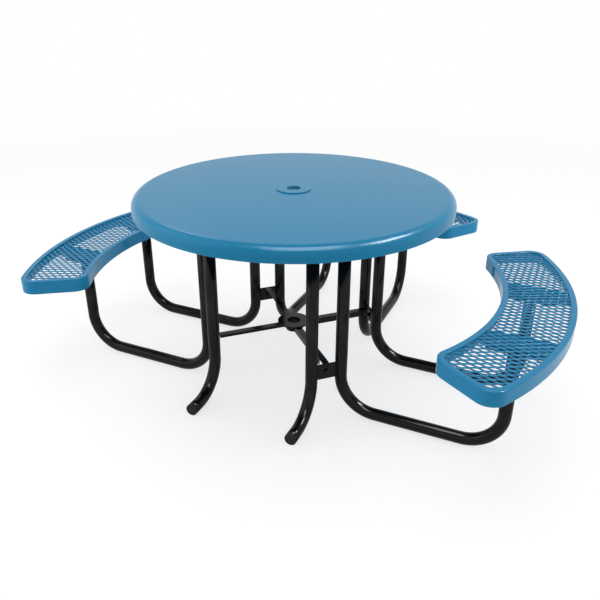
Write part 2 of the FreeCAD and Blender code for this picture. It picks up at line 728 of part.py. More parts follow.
def build():
    table_top()
    raised_disc()
    ring("top_centre_ring", "pole_hole_radius", "centre_ring_radius",
         f"{UNDER_TOP} - centre_ring_thickness", UNDER_TOP)
    ring("hub_plate", "pole_hole_radius", "hub_radius", HUB_BOTTOM, "hub_top")
    ring("hub_collar", "pole_hole_radius", COLLAR_RADIUS, f"{HUB_BOTTOM} - collar_length", HUB_BOTTOM)
    for corner, turn in CORNERS.items():
        top_channel(corner, turn)
        top_plate(corner, turn)
        corner_plate(corner, turn)
        brace(corner, turn)
    for end, sign in (("left", "-"), ("right", "")):
        front_leg(end, sign)
    sheet_shape = seat_mesh_sheet()
    for side, turn in SIDES.items():
        seat_rim(side, turn)
        seat_mesh(side, turn, sheet_shape)
        for end, sign in (("clockwise", "-"), ("anticlockwise", "")):
            seat_tube(side, end, sign, turn)
            seat_channel(side, end, sign, turn)
            seat_plate(side, end, sign, turn)
    top_spots = [(turn, f"{CORNER_REACH} {sign} top_bolt_offset", "0", TOP_PLATE_BOTTOM)
                 for turn in CORNERS.values() for sign in "-+"]
    fasteners("top", "(top_plate_thickness + channel_wall)", top_spots)
    seat_spots = [
        (turn, f"{RISER_REACH} {sign} {SEAT_BOLT_OFFSET}", f"{side}{SEAT_BOLT_ACROSS}", SEAT_PLATE_BOTTOM)
        for turn in SIDES.values() for side in ("-", "") for sign in "-+"]
    fasteners("seat", "(seat_plate_thickness + seat_channel_wall)", seat_spots)
    brace_spots = [(turn, CORNER_PLATE_OUTSIDE, "0", CORNER_PLATE_MIDDLE) for turn in CORNERS.values()]
    inward = Rotation(Vector(0, 1, 0), -90)
    fasteners("brace", "(corner_plate_thickness + brace_wall)", brace_spots, inward)


def check():
    """Stop before anything is written if an object failed or a sub-part isn't a sound shape."""
    for item in document.Objects:
        if {"Invalid", "Error"} & set(item.State):
            raise ValueError(f"{item.Label} failed: {item.State}")
    for node in nodes:
        if node.Shape.isNull() or not node.Shape.isValid():
            raise ValueError(f"{node.Label} has no sound shape")
    labels = [node.Label for node in nodes]
    if len(set(labels)) != len(labels):
        raise ValueError("two sub-parts share a name")


def write():
    os.makedirs("parts", exist_ok=True)
    for node in nodes:
        node.Shape.exportStep(f"parts/{node.Label}.step")
    print(f"{len(nodes)} sub-parts written")


build()
document.recompute()
check()
write()
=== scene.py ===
# %% [markdown]
# A round picnic table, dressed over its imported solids.
#
# The real table is a steel frame with two finishes. The top and the three seats are dipped in a
# thick blue plastic coating, which rounds every edge and narrows the openings of the expanded
# metal. The tubes, plates and braces below are powder coated black. The solids hold every size, so
# this lesson loads them first and then draws each coated surface again, as a smooth one, in the
# same place.

# %% Load the solids
import json
import math

import bmesh
import bpy
import numpy as np
from mathutils import Matrix, Vector


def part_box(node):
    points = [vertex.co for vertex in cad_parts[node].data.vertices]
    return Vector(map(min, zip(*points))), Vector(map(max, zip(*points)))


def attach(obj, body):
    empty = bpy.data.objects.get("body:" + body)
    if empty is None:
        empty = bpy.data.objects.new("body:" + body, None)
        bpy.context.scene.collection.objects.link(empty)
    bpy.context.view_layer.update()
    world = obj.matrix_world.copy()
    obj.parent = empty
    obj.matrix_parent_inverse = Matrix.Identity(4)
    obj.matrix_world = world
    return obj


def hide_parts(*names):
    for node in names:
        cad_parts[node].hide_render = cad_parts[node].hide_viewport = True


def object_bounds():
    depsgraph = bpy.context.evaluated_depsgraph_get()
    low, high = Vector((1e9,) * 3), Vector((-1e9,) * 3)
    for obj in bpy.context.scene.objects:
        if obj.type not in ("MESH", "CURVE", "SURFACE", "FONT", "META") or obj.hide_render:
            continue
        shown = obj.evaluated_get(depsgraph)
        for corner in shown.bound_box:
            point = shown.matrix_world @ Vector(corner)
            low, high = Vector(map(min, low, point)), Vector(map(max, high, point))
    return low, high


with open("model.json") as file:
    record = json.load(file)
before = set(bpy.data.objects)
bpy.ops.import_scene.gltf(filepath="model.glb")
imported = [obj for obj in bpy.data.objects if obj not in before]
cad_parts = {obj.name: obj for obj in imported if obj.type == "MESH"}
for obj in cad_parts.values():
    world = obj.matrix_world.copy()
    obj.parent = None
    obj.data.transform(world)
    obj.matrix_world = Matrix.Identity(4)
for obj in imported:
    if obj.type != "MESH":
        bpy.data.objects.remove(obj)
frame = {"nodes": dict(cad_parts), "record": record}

cad_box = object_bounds()
cad_size = [round(side, 3) for side in cad_box[1] - cad_box[0]]
print(f"{len(frame['nodes'])} solids, overall {cad_size} m")

# %% [markdown]
# The camera comes first, because everything else is judged through it. It was solved from the
# photograph: how far round the table it stands, how high, how far away, and which pixel its axis
# meets. That pixel isn't the middle of the picture, because the picture was cropped, so the lens
# is shifted by the difference.

# %% The camera
camera_azimuth = math.radians(24.97)
camera_elevation = math.radians(24.48)
camera_distance = 2.4955
aim_height = 0.400
picture_px = 600
focal_length_px = 641.08
axis_px = (293.79, 278.86)

hub_low, hub_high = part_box("hub_plate")
pole = (hub_low + hub_high) / 2
aim = Vector((pole.x, pole.y, aim_height))
towards_camera = Vector((
    math.sin(camera_azimuth) * math.cos(camera_elevation),
    -math.cos(camera_azimuth) * math.cos(camera_elevation),
    math.sin(camera_elevation)))

lens = bpy.data.cameras.new("photograph_view")
lens.lens = focal_length_px / picture_px * lens.sensor_width
lens.shift_x = (picture_px / 2 - axis_px[0]) / picture_px
lens.shift_y = (axis_px[1] - picture_px / 2) / picture_px
camera = bpy.data.objects.new("photograph_view", lens)
camera.location = aim + towards_camera * camera_distance
camera.rotation_euler = (math.pi / 2 - camera_elevation, 0, camera_azimuth)
bpy.context.scene.collection.objects.link(camera)
bpy.context.scene.camera = camera
bpy.context.scene.view_settings.view_transform = "Standard"
print(f"camera {camera_distance} m from the pole axis, lens {lens.lens:.1f} mm")

# %% [markdown]
# Node materials need the same few steps again and again: add a node, set its sockets, link it.
# One helper does all three. A plain value is set on the socket, and another node's output is
# linked to it.

# %% A helper for nodes
def add_node(tree, kind, settings=None, **inputs):
    """Add a node of a kind, set its properties from settings, and fill its inputs.

    An input goes by its name, with _ for a space, or by _ and its number.
    """
    node = tree.nodes.new(kind)
    for name, value in (settings or {}).items():
        setattr(node, name, value)
    for name, value in inputs.items():
        socket = node.inputs[int(name[1:]) if name[0] == "_" else name.replace("_", " ")]
        if isinstance(value, bpy.types.NodeSocket):
            tree.links.new(value, socket)
        else:
            socket.default_value = value
    return node


# %% [markdown]
# The coatings are sprayed or dipped and then baked, so they all have the same two kinds of
# unevenness: a fine orange peel in the surface, and a broad drift in colour and gloss where the
# coat is thicker. Each material could have its own noise, but the steps are the same, so they are
# one node group, and each finish sets its own scales and amounts. The group reads Object
# coordinates, because the pieces lie at the origin with their place in their mesh, so nothing
# slides.

# %% A group for baked coatings
peel_detail = 2.0
drift_detail = 3.0
drift_range = (0.3, 0.7)


def coating_group():
    """Noise at two scales: the fine one is the height of the orange peel, the broad one drifts.

    The drift mixes the two colours by the noise n, and the roughness goes in a straight line from
    the least to the most while n goes through the drift range.
    """
    group = bpy.data.node_groups.new("baked coating", "ShaderNodeTree")
    for name in ("Color", "Drift Color"):
        group.interface.new_socket(name, in_out="INPUT", socket_type="NodeSocketColor")
    for name in ("Peel Scale", "Drift Scale", "Least Roughness", "Most Roughness"):
        group.interface.new_socket(name, in_out="INPUT", socket_type="NodeSocketFloat")
    group.interface.new_socket("Color", in_out="OUTPUT", socket_type="NodeSocketColor")
    for name in ("Roughness", "Height"):
        group.interface.new_socket(name, in_out="OUTPUT", socket_type="NodeSocketFloat")
    given = add_node(group, "NodeGroupInput").outputs
    place = add_node(group, "ShaderNodeTexCoord").outputs["Object"]
    peel = add_node(group, "ShaderNodeTexNoise", Vector=place, Scale=given["Peel Scale"],
                    Detail=peel_detail)
    drift = add_node(group, "ShaderNodeTexNoise", Vector=place, Scale=given["Drift Scale"],
                     Detail=drift_detail)
    colour = add_node(group, "ShaderNodeMix", {"data_type": "RGBA"}, _0=drift.outputs["Fac"],
                      _6=given["Color"], _7=given["Drift Color"])
    roughness = add_node(group, "ShaderNodeMapRange", Value=drift.outputs["Fac"],
                         From_Min=drift_range[0], From_Max=drift_range[1],
                         To_Min=given["Least Roughness"], To_Max=given["Most Roughness"])
    add_node(group, "NodeGroupOutput", Color=colour.outputs[2],
             Roughness=roughness.outputs["Result"], Height=peel.outputs["Fac"])
    return group


baked_coating = coating_group()
print(f"group with sockets {[item.name for item in baked_coating.interface.items_tree]}")

# %% [markdown]
# A finish is that group in front of a Principled shader: blue plastic on the top and on the
# seats, black powder coat on the frame, the plastic of the end caps, and the plated or blackened
# fasteners. The colours are written as linear light. What is the same all over, such as the
# strength of the reflection, is set on the shader itself. The seats are the same blue plastic as
# the top, but glossier, and their colour is painted a little lighter: painted light that stands in
# for the light which the strands of the mesh shade off the seats.

# %% The finishes
def coated(name, colour, drift_colour, roughness, peel_scale, peel_depth, drift_scale,
           specular=0.5, metallic=0.0):
    """A material for one finish: roughness is (least, most), scales are in features per metre."""
    finish = bpy.data.materials.new(name)
    finish.use_nodes = True
    tree = finish.node_tree
    tree.nodes.clear()
    coat = add_node(tree, "ShaderNodeGroup", {"node_tree": baked_coating}, Color=(*colour, 1),
                    Drift_Color=(*drift_colour, 1), Peel_Scale=peel_scale,
                    Drift_Scale=drift_scale, Least_Roughness=roughness[0],
                    Most_Roughness=roughness[1])
    bump = add_node(tree, "ShaderNodeBump", Strength=1.0, Distance=peel_depth,
                    Height=coat.outputs["Height"])
    shader = add_node(tree, "ShaderNodeBsdfPrincipled", Base_Color=coat.outputs["Color"],
                      Roughness=coat.outputs["Roughness"], Normal=bump.outputs["Normal"],
                      Metallic=metallic, Specular_IOR_Level=specular)
    add_node(tree, "ShaderNodeOutputMaterial", Surface=shader.outputs["BSDF"])
    return finish


finish_of_slot = {
    "top_coating": coated(
        "blue_top_coating", colour=(0.003, 0.200, 0.382), drift_colour=(0.005, 0.208, 0.394),
        roughness=(0.21, 0.25), peel_scale=260.0, peel_depth=0.00002, drift_scale=5.0,
        specular=0.22),
    # The seats' blue is painted a little lighter than the top's, as painted light for the shade
    # among the mesh strands.
    "seat_coating": coated(
        "blue_seat_coating_painted_lighter", colour=(0.004, 0.213, 0.420), drift_colour=(0.006, 0.222, 0.434),
        roughness=(0.06, 0.10), peel_scale=260.0, peel_depth=0.000006, drift_scale=8.0,
        specular=0.28),
    "frame_powder_coat": coated(
        "black_powder_coat", colour=(0.0018, 0.0018, 0.0019),
        drift_colour=(0.0028, 0.0028, 0.0029), roughness=(0.14, 0.20), peel_scale=900.0,
        peel_depth=0.00001, drift_scale=9.0, specular=0.24),
    "cap_plastic": coated(
        "black_cap_plastic", colour=(0.008, 0.008, 0.008), drift_colour=(0.012, 0.012, 0.012),
        roughness=(0.42, 0.55), peel_scale=1500.0, peel_depth=0.00002, drift_scale=30.0,
        specular=0.25),
    "zinc_hardware": coated(
        "zinc_plated_steel", colour=(0.42, 0.42, 0.40), drift_colour=(0.55, 0.54, 0.50),
        roughness=(0.30, 0.48), peel_scale=2200.0, peel_depth=0.00001, drift_scale=120.0,
        metallic=1.0),
    "black_hardware": coated(
        "black_bolt", colour=(0.003, 0.003, 0.003), drift_colour=(0.005, 0.005, 0.005),
        roughness=(0.24, 0.34), peel_scale=1800.0, peel_depth=0.00001, drift_scale=60.0,
        specular=0.25),
}
slot_of_node = {part["node"]: part["material_slot"] for part in frame["record"]["subparts"]}
print(f"{len(finish_of_slot)} finishes")

# %% [markdown]
# New surfaces are grids of points worked out as whole arrays. Almost all of them are rings in both
# directions: an outline carried round a path that comes back to its start. Their faces are then
# the same for every piece, each point joined to the next one in both directions, with both ends
# wrapped.

# %% Grids that close on themselves
def ring_faces(rows, columns):
    """The quads of a grid whose last row joins the first and whose last column joins the first."""
    index = np.arange(rows * columns).reshape(rows, columns)
    beside = np.roll(index, -1, axis=1)
    below = np.roll(index, -1, axis=0)
    across = np.roll(beside, -1, axis=0)
    return np.stack([index, beside, across, below], axis=-1).reshape(-1, 4)


def outwards(points, faces):
    """The faces, turned over if they enclose a negative volume.

    The volume is a sixth of the sum of a . (b x c) over the triangles of a closed surface.
    """
    a, b, c, d = (points[faces[:, corner]] for corner in range(4))
    volume = np.sum(a * np.cross(b, c)) + np.sum(a * np.cross(c, d))
    return faces if volume > 0 else faces[:, ::-1]


def make_piece(name, points, faces, slot, stands_for=()):
    """A smooth mesh object at the origin, which rides on the table and has its slot's finish."""
    mesh = bpy.data.meshes.new(name)
    mesh.from_pydata(points.tolist(), [], faces.tolist())
    mesh.polygons.foreach_set("use_smooth", np.ones(len(mesh.polygons), dtype=bool))
    mesh.materials.append(finish_of_slot[slot])
    piece = bpy.data.objects.new(name, mesh)
    bpy.context.scene.collection.objects.link(piece)
    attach(piece, "root")
    if stands_for:
        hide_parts(*stands_for)
    print(f"{name}: {len(mesh.polygons)} faces")
    return piece


def ring_piece(name, grid, slot, stands_for=()):
    """A piece from a grid of points (rows, columns, 3) that closes on itself both ways."""
    points = grid.reshape(-1, 3)
    faces = outwards(points, ring_faces(*grid.shape[:2]))
    return make_piece(name, points, faces, slot, stands_for)


# %% [markdown]
# Every section here is straight runs joined by round corners: the edge of the top, the wall of a
# seat, the path of a tube. A corner's arc is worked out from its two runs, so only the corner
# points and their radii are written down. A point stands just before and just after each arc,
# which keeps the shading of the long flat runs flat.

# %% Outlines with round corners
def unit(vector):
    """The vector divided by its length."""
    return vector / np.linalg.norm(vector)


def rounded(corners, steps, closed=True, shoulder_share=0.1):
    """Points along an outline whose corners are (x, y, radius).

    With h half the angle at a corner, the arc touches both runs at radius / tan(h) from the
    corner, about a centre at radius / sin(h) along the bisector. Between its ends s and e, seen
    from the centre, it goes as (sin((1 - t) w) s + sin(t w) e) / sin(w), where w is its sweep and
    t runs from 0 to 1.
    """
    spots = np.array([corner[:2] for corner in corners])
    points = []
    for index, corner in enumerate(corners):
        spot = spots[index]
        if not closed and index in (0, len(corners) - 1):
            points.append(spot[None])
            continue
        radius = corner[2]
        back = unit(spots[index - 1] - spot)
        ahead = unit(spots[(index + 1) % len(corners)] - spot)
        half = np.arccos(back @ ahead) / 2
        centre = spot + unit(back + ahead) * radius / np.sin(half)
        start = spot + back * radius / np.tan(half)
        end = spot + ahead * radius / np.tan(half)
        sweep = np.pi - 2 * half
        t = np.linspace(0, 1, steps)[:, None]
        spokes = (np.sin((1 - t) * sweep) * (start - centre)
                  + np.sin(t * sweep) * (end - centre)) / np.sin(sweep)
        shoulder = radius * shoulder_share
        points += [(start + back * shoulder)[None], centre + spokes,
                   (end + ahead * shoulder)[None]]
    return np.vstack(points)


def revolved(section, count):
    """A section of (radius, height) turned about the pole axis: (r cos u, r sin u, height)."""
    u = np.linspace(0, 2 * np.pi, count, endpoint=False)[:, None]
    radius, height = section.T
    return np.stack([pole.x + radius * np.cos(u), pole.y + radius * np.sin(u),
                     np.broadcast_to(height, (count, len(height)))], axis=-1)


# %% [markdown]
# The top is one steel sheet, pressed so that its edge rolls down into a skirt, then dipped. A
# cylinder with a bevel would look right from above, but it has no hollow underneath. So a section
# through the sheet is turned about the pole axis, and makes the whole piece, inside and out. The
# coating makes the foot of the skirt a full round bead and softens the lip of the umbrella hole.

# %% The table top
top_low, top_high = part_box("table_top")
top_radius = (top_high.x - top_low.x) / 2
top_height = top_high.z
skirt_foot = top_low.z
sheet = 0.005
edge_roll = 0.030
skirt_round = 0.0022
hole_radius = 0.0254
hole_round = 0.0015
top_turns = 288
top_arc_points = 11

top_section = rounded([
    (hole_radius, top_height, hole_round),
    (top_radius, top_height, edge_roll),
    (top_radius, skirt_foot, skirt_round),
    (top_radius - sheet, skirt_foot, skirt_round),
    (top_radius - sheet, top_height - sheet, edge_roll - sheet),
    (hole_radius, top_height - sheet, hole_round),
], top_arc_points)
ring_piece("coated_top", revolved(top_section, top_turns), "top_coating", ["table_top"])

# %% [markdown]
# A low disc stands round the umbrella hole. In the photograph only its near edge shows, as a thin
# dark arc. It could be a step in the section of the top, but it is a piece of its own with a seam
# at its foot, so it has its own section, with a round upper edge and a soft lip at the hole.

# %% The raised disc
disc_low, disc_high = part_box("umbrella_disc")
disc_radius = (disc_high.x - disc_low.x) / 2
disc_round = 0.0016
disc_foot_round = 0.0003
disc_turns = 144
disc_arc_points = 7

disc_section = rounded([
    (hole_radius, disc_low.z, disc_foot_round),
    (disc_radius, disc_low.z, disc_foot_round),
    (disc_radius, disc_high.z, disc_round),
    (hole_radius, disc_high.z, disc_round),
], disc_arc_points)
ring_piece("coated_disc", revolved(disc_section, disc_turns), "top_coating", ["umbrella_disc"])

# %% [markdown]
# A seat in plan is a piece of a ring: two arcs about the pole axis and two straight ends that
# point at it, with round corners. Half of that outline is drawn, and the mirror gives the other
# half. The rim and the mesh need the same outline again, a little further in. An inset of the
# face could draw that, but only one depth at a time. Here each point keeps the direction into the
# seat beside it, and a point at any depth is the outline's point plus the depth times that
# direction. That holds on the arcs, the ends and the corners.

# %% The outline of a seat
seat_inner_radius = 0.772
seat_outer_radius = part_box("right_seat_rim")[1].x - pole.x
seat_corner = 0.055
seat_half_angle = math.radians(34.2)
outer_arc_points, corner_arc_points, inner_arc_points = 56, 14, 44
end_points = 5
end_margin = 0.05

along_end = np.array([math.cos(seat_half_angle), math.sin(seat_half_angle)])
off_end = np.array([math.sin(seat_half_angle), -math.cos(seat_half_angle)])
outer_reach = math.sqrt((seat_outer_radius - seat_corner) ** 2 - seat_corner ** 2)
inner_reach = math.sqrt((seat_inner_radius + seat_corner) ** 2 - seat_corner ** 2)
outer_centre = along_end * outer_reach + off_end * seat_corner
inner_centre = along_end * inner_reach + off_end * seat_corner


def arc(centre, radius, start, end, count):
    """Points c + r (cos a, sin a) with a from start to end, and the unit direction of each."""
    angle = np.linspace(start, end, count)
    direction = np.stack([np.cos(angle), np.sin(angle)], axis=1)
    return centre + radius * direction, direction


def seat_outline():
    """The closed outline (n, 2) of a seat that faces +X from the pole axis.

    With it come the inward directions of its points: minus an outer arc's direction from its
    centre, plus an inner arc's, and off the straight end.
    """
    outer_turn = math.atan2(outer_centre[1], outer_centre[0])
    inner_turn = math.atan2(inner_centre[1], inner_centre[0])
    end_turn = seat_half_angle + math.pi / 2
    outer, outer_out = arc(np.zeros(2), seat_outer_radius, 0, outer_turn, outer_arc_points)
    corner, corner_out = arc(outer_centre, seat_corner, outer_turn, end_turn, corner_arc_points)
    share = np.linspace(end_margin, 1 - end_margin, end_points)[:, None]
    end = outer_centre - off_end * seat_corner + share * (inner_centre - outer_centre)
    turn, turn_out = arc(inner_centre, seat_corner, end_turn, inner_turn + math.pi,
                         corner_arc_points)
    inner, inner_out = arc(np.zeros(2), seat_inner_radius, inner_turn, 0, inner_arc_points)
    points = np.vstack([outer, corner[1:], end, turn, inner[1:]])
    inward = np.vstack([-outer_out, -corner_out[1:], np.tile(off_end, (end_points, 1)),
                        -turn_out, inner_out[1:]])
    mirror = np.array([1, -1])
    return (np.vstack([points, points[-2:0:-1] * mirror]),
            np.vstack([inward, inward[-2:0:-1] * mirror]))


outline, inward = seat_outline()
sides = {"right": 0.0, "back": math.pi / 2, "left": math.pi}
print(f"outline of {len(outline)} points, {seat_outer_radius - seat_inner_radius:.3f} m deep")

# %% [markdown]
# The rim of a seat is a bar of L section bent round that outline: a deep wall outside, and a
# flange turned in along the top that holds the mesh. A curve with a bevel profile would follow
# the outline too, but its points in the corners would not be the ones chosen here. With the
# section given as depth inside the edge and height, carrying it round is one sum of arrays. The
# three seats are the same piece, turned.

# %% The seat rims
rim_low, rim_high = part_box("right_seat_rim")
rim_wall = 0.005
flange_width = 0.020
flange_thickness = 0.005
rim_top_round = 0.0030
rim_foot_round = 0.0022
rim_inside_round = 0.0015
rim_arc_points = 6


def to_side(points, turn):
    """Points (..., 3) turned about Z and set on the pole axis.

    x cos t - y sin t, and x sin t + y cos t, for a turn of t.
    """
    x, y, z = np.moveaxis(points, -1, 0)
    return np.stack([pole.x + x * math.cos(turn) - y * math.sin(turn),
                     pole.y + x * math.sin(turn) + y * math.cos(turn), z], axis=-1)


rim_section = rounded([
    (0, rim_low.z, rim_foot_round),
    (0, rim_high.z, rim_top_round),
    (flange_width, rim_high.z, rim_foot_round),
    (flange_width, rim_high.z - flange_thickness, rim_foot_round),
    (rim_wall, rim_high.z - flange_thickness, rim_inside_round),
    (rim_wall, rim_low.z, rim_foot_round),
], rim_arc_points)
depth, height = rim_section.T
plan = outline[:, None] + depth[None, :, None] * inward[:, None]
level = np.broadcast_to(height[None, :, None], (*plan.shape[:2], 1))
rim_grid = np.concatenate([plan, level], axis=-1)
for side, turn in sides.items():
    ring_piece(f"{side}_coated_rim", to_side(rim_grid, turn), "seat_coating",
               [f"{side}_seat_rim"])

# %% [markdown]
# The seats are flattened expanded metal: rows of diamonds, staggered by half a diamond, with the
# long way across the seat. Under the coating each strand has a rounded section and each opening
# round corners. A picture with holes in it would be cheaper, but it has no thickness, and here
# the walls of the openings catch the light. So each opening is real. One cell of the pattern is a
# ring of points round its opening. Its outside lies on the diamond that it shares with its
# neighbours, along the middle of the strands. From there the surface goes over the strand's
# shoulder, down the wall of the opening and back underneath.

# %% One cell of the mesh
mesh_low, mesh_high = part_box("right_seat_mesh")
mesh_middle = (mesh_low.z + mesh_high.z) / 2
strand_half_height = (mesh_high.z - mesh_low.z) / 2
half_long_way = 0.0457 / 2
half_short_way = 0.0233 / 2
opening_half_long = 0.0150
opening_half_short = 0.0063
diamond_power = 1.0
opening_power = 1.35
strand_power = 2.6
points_round = 12
strand_turns = np.radians([0, 48, 90, 132, 180])


def signed_power(value, power):
    """The power of the value's size, with the value's sign."""
    return np.sign(value) * np.abs(value) ** power


def diamond(half_long, half_short, power):
    """A ring (points_round, 2) on the curve (a c^(2/p), b s^(2/p)).

    c and s are the cosine and sine of the same angle. With p of 1 it is the straight diamond, and
    a larger p rounds its corners.
    """
    angle = np.linspace(0, 2 * np.pi, points_round, endpoint=False)
    return np.stack([half_long * signed_power(np.cos(angle), 2 / power),
                     half_short * signed_power(np.sin(angle), 2 / power)], axis=1)


cell_edge = diamond(half_long_way, half_short_way, diamond_power)
cell_opening = diamond(opening_half_long, opening_half_short, opening_power)
strand_across = np.sin(strand_turns) ** (2 / strand_power)
strand_up = signed_power(np.cos(strand_turns), 2 / strand_power) * strand_half_height
print(f"a cell has {points_round * (len(strand_turns) - 1)} faces")

# %% [markdown]
# The sheet is cut to the seat's shape, so the cells at its edge are cut too. A boolean cut would
# do it, but with slivers, and with sharp edges where the coating is round. So a point that would
# lie outside is drawn back to the sheet's outline. Because the outline has round corners of one
# radius, it is all the points at one distance from a core, which is the seat drawn in by that
# radius. The nearest point of the core is found first, and the point is drawn back along the line
# to it.

# %% Draw a point back to the outline
least_distance_share = 1e-3


def nearest_core(points):
    """The nearest point of the seat's core to each point (n, 2).

    The core is the piece of a ring between two radii and two lines parallel to the seat's ends.
    Between the lines, the point's own radius is held between the two radii. Past a line, it is
    the point of that line beside it, held between the centres of the seat's corners.
    """
    flip = np.where(points[:, 1:] < 0, np.array([1.0, -1.0]), np.array([1.0, 1.0]))
    spot = points * flip
    radius = np.linalg.norm(spot, axis=1, keepdims=True)
    core_radius = np.clip(radius, seat_inner_radius + seat_corner,
                          seat_outer_radius - seat_corner)
    on_arcs = spot * core_radius / radius
    reach = np.clip(spot @ along_end, inner_reach, outer_reach)[:, None]
    on_end = reach * along_end + seat_corner * off_end
    beyond = (spot @ off_end < seat_corner)[:, None]
    return np.where(beyond, on_end, on_arcs) * flip


def on_outline(points, inset):
    """Points (n, 2) moved to the inset from the seat's edge, and which of them were outside it.

    A point p goes to c + (p - c) L / |p - c|, where c is the nearest point of the core and L is
    the corner's radius less the inset. A point on the core itself would divide by nothing, so the
    distance has a small least value.
    """
    core = nearest_core(points)
    away = points - core
    distance = np.linalg.norm(away, axis=1, keepdims=True)
    limit = seat_corner - inset
    divisor = np.maximum(distance, limit * least_distance_share)
    return core + away * limit / divisor, distance[:, 0] > limit


outline_reach = np.linalg.norm(outline - nearest_core(outline), axis=1)
print(f"the outline lies {outline_reach.min():.4f} to {outline_reach.max():.4f} m off its core")

# %% [markdown]
# Now each cell that could touch the seat is cut. Points that came from far outside would land in
# the wrong order, so they slide along the outline until they lie evenly between their neighbours.
# A cell that lies wholly outside is left out. One whose opening would only be a sliver stays
# closed, because the coating would fill it.

# %% Cut the cells to the seat's outline
sheet_inset = 0.0053
opening_inset = 0.013
slide_steps = 60
smallest_opening_share = 0.15


def drawn_in(rings, inset):
    """Rings (cells, points, 2) cut at the inset, and which of their points lie on the cut.

    A point between two others on the cut is set halfway between them, again and again.
    """
    moved, outside = on_outline(rings.reshape(-1, 2), inset)
    outside = outside.reshape(rings.shape[:2])
    rings = np.where(outside[..., None], moved.reshape(rings.shape), rings)
    slack = outside & np.roll(outside, 1, axis=1) & np.roll(outside, -1, axis=1)
    for _ in range(slide_steps):
        halfway = (np.roll(rings, 1, axis=1) + np.roll(rings, -1, axis=1)) / 2
        moved = on_outline(halfway.reshape(-1, 2), inset)[0].reshape(rings.shape)
        rings = np.where(slack[..., None], moved, rings)
    return rings, outside


def polygon_area(rings):
    """Areas of closed polygons (cells, points, 2), as half the sum of their cross products."""
    ahead = np.roll(rings, -1, axis=1)
    crossed = rings[..., 0] * ahead[..., 1] - rings[..., 1] * ahead[..., 0]
    return 0.5 * np.abs(np.sum(crossed, axis=1))


def cell_middles():
    """The middles (n, 2) of all cells that could touch the seat.

    They are every second spot, column + row even, of a grid of half a diamond both ways.
    """
    first_column = int(seat_inner_radius * along_end[0] / half_long_way) - 1
    last_column = int(seat_outer_radius / half_long_way) + 2
    last_row = int(seat_outer_radius * along_end[1] / half_short_way) + 2
    column, row = np.meshgrid(np.arange(first_column, last_column + 1),
                              np.arange(-last_row, last_row + 1))
    even = (column + row) % 2 == 0
    return np.stack([column[even] * half_long_way, row[even] * half_short_way], axis=1)


middles = cell_middles()
edges, edge_moved = drawn_in(middles[:, None] + cell_edge, sheet_inset)
kept = ~edge_moved.all(axis=1)
middles, edges, edge_moved = middles[kept], edges[kept], edge_moved[kept]
openings, opening_moved = drawn_in(middles[:, None] + cell_opening, opening_inset)
opening_share = polygon_area(openings) / polygon_area(cell_opening[None])
is_open = (opening_share > smallest_opening_share) & ~opening_moved.all(axis=1)
print(f"{len(middles)} cells in a seat, {is_open.sum()} of them open")

# %% [markdown]
# Now the cells become one mesh. An open cell is a band of rings from the top of the strand
# through the opening to its underside. A closed cell is two flat fans. At the sheet's edge the
# top and the underside meet at the middle height, which seals it, and the rim's flange hides it.
# Neighbours meet on the same points, so merging the doubles joins all of them into one closed
# surface.

# %% The seat meshes
merge_distance = 1e-6


def cell_grid(edge, opening, moved):
    """Rings (cells, rings, points, 3) over the strand: plan = edge + f (opening - edge).

    f and the height go round the strand's section. A point on the sheet's cut edge has no height.
    """
    across = strand_across[None, :, None, None]
    plan_points = edge[:, None] + across * (opening[:, None] - edge[:, None])
    nearer_edge = (strand_across < 0.5)[None, :, None]
    height_points = np.where(moved[:, None] & nearer_edge, 0.0, strand_up[None, :, None])
    return np.concatenate([plan_points, (height_points + mesh_middle)[..., None]], axis=-1)


def open_cell_faces(count):
    """Quads between each ring of a cell and the next, for that many cells."""
    rings = len(strand_turns)
    index = np.arange(count * rings * points_round).reshape(count, rings, points_round)
    beside = np.roll(index, -1, axis=2)
    quads = np.stack([index[:, :-1], beside[:, :-1], beside[:, 1:], index[:, 1:]], axis=-1)
    return quads.reshape(-1, 4)


def closed_cells(edge, moved):
    """Points and triangles of the cells with no opening: a fan on top and a fan underneath."""
    middle = edge.mean(axis=1, keepdims=True)
    ring = np.concatenate([edge, middle], axis=1)
    flat = np.concatenate([moved, np.zeros((len(edge), 1), bool)], axis=1)
    start = np.arange(len(edge))[:, None] * (points_round + 1)
    near = start + np.arange(points_round)
    far = start + (np.arange(points_round) + 1) % points_round
    hub = np.broadcast_to(start + points_round, near.shape)
    fans = np.stack([near, far, hub], axis=-1).reshape(-1, 3)
    points = []
    for face_height in (strand_half_height, -strand_half_height):
        height_points = np.where(flat, 0.0, face_height) + mesh_middle
        points.append(np.concatenate([ring, height_points[..., None]], axis=-1).reshape(-1, 3))
    return np.vstack(points), np.vstack([fans, fans[:, ::-1] + len(points[0])])


def merge_doubles(piece):
    """Join points that lie on each other, and drop faces that this leaves without area."""
    work = bmesh.new()
    work.from_mesh(piece.data)
    bmesh.ops.remove_doubles(work, verts=work.verts, dist=merge_distance)
    bmesh.ops.dissolve_degenerate(work, edges=work.edges, dist=merge_distance)
    open_edges = sum(len(edge.link_faces) < 2 for edge in work.edges)
    work.to_mesh(piece.data)
    work.free()
    faces = len(piece.data.polygons)
    print(f"{piece.name}: {faces} faces after merging, {open_edges} open edges")


open_points = cell_grid(edges[is_open], openings[is_open], edge_moved[is_open]).reshape(-1, 3)
open_faces = open_cell_faces(is_open.sum())
shut_points, shut_faces = closed_cells(edges[~is_open], edge_moved[~is_open])
mesh_points = np.vstack([open_points, shut_points])
mesh_faces = np.array(open_faces.tolist() + (shut_faces + len(open_points)).tolist(), dtype=object)
for side, turn in sides.items():
    merge_doubles(make_piece(f"{side}_coated_mesh", to_side(mesh_points, turn), mesh_faces,
                             "seat_coating", [f"{side}_seat_mesh"]))

